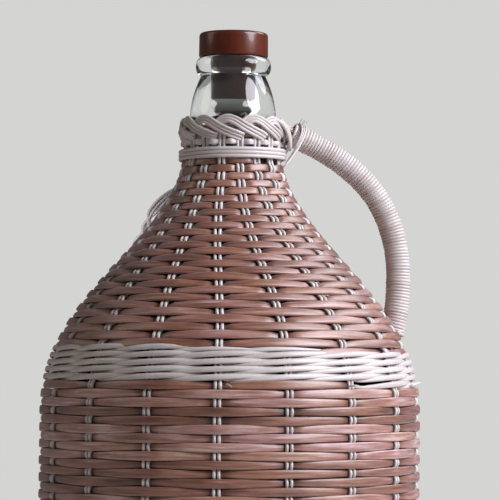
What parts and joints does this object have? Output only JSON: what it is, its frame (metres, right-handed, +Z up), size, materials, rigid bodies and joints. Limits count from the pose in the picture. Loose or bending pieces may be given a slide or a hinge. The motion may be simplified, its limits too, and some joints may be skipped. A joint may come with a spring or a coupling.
{
  "type": "wicker demijohn",
  "caption": "Demijohn: a clear glass bottle in a woven cane basket, with a wrapped carrying handle, a rolled neck border and a pull-out stopper.",
  "frame": {"origin": "on the bottle's axis at the floor, under the basket's foot", "axes": "+Z up along the bottle's axis, +X towards the wrapped handle, +Y to the left of it"},
  "size_m": [0.2334, 0.2344, 0.4133],
  "materials": {
    "glass": "clear, smooth",
    "stopper": "glossy reddish brown",
    "peeled_cane": "satin peeled cane",
    "brown_cane": "satin stained cane"
  },
  "bodies": {
    "basket": {"glass_bottle": "glass", "stake_01a": "peeled_cane", "stake_01b": "peeled_cane", "stake_02a": "peeled_cane", "stake_02b": "peeled_cane", "stake_03a": "peeled_cane", "stake_03b": "peeled_cane", "stake_04a": "peeled_cane", "stake_04b": "peeled_cane", "stake_05a": "peeled_cane", "stake_05b": "peeled_cane", "stake_06a": "peeled_cane", "stake_06b": "peeled_cane", "stake_07a": "peeled_cane", "stake_07b": "peeled_cane", "stake_08a": "peeled_cane", "stake_08b": "peeled_cane", "stake_09a": "peeled_cane", "stake_09b": "peeled_cane", "stake_10a": "peeled_cane", "stake_10b": "peeled_cane", "stake_11a": "peeled_cane", "stake_11b": "peeled_cane", "stake_12a": "peeled_cane", "stake_12b": "peeled_cane", "stake_13a": "peeled_cane", "stake_13b": "peeled_cane", "stake_14a": "peeled_cane", "stake_14b": "peeled_cane", "stake_15a": "peeled_cane", "stake_15b": "peeled_cane", "stake_16a": "peeled_cane", "stake_16b": "peeled_cane", "stake_17a": "peeled_cane", "stake_17b": "peeled_cane", "shoulder_wale": "peeled_cane", "neck_row": "peeled_cane", "neck_binding": "peeled_cane", "border_strand_1": "peeled_cane", "border_strand_2": "peeled_cane", "border_strand_3": "peeled_cane", "handle_core": "peeled_cane", "handle_wrap": "peeled_cane", "rear_handle_strand_1": "peeled_cane", "rear_handle_strand_2": "peeled_cane", "rear_handle_strand_3": "peeled_cane", "foot_roll": "peeled_cane", "body_weaver": "brown_cane", "shoulder_weaver": "brown_cane", "base_mat": "brown_cane"},
    "stopper": {"stopper": "stopper"}
  },
  "joints": [
    {"name": "stopper_lift", "type": "slide", "parent": "basket", "child": "stopper", "axis": [0, 0, 1], "range_m": [0, 0.08]}
  ]
}
